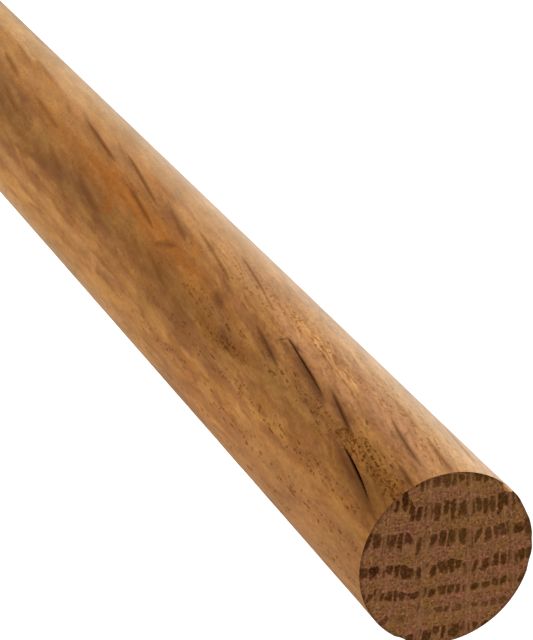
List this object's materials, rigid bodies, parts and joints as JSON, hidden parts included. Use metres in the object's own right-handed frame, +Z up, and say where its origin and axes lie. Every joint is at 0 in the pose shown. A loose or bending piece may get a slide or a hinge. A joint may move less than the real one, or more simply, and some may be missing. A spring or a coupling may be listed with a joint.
{
  "type": "dowel rod",
  "caption": "Round solid oak dowel rod with flat sawn ends and a few fine drying checks near one end.",
  "frame": {"origin": "centre of the lower sawn end, which the rod stands on", "axes": "+Z up along the rod's axis, towards the end with the drying checks and the rim split"},
  "size_m": [0.0254, 0.0254, 0.3048],
  "materials": {
    "oak": "bare sanded red oak on the round, darker sawn end grain"
  },
  "bodies": {
    "root": {"dowel_rod": "oak"}
  },
  "joints": []
}
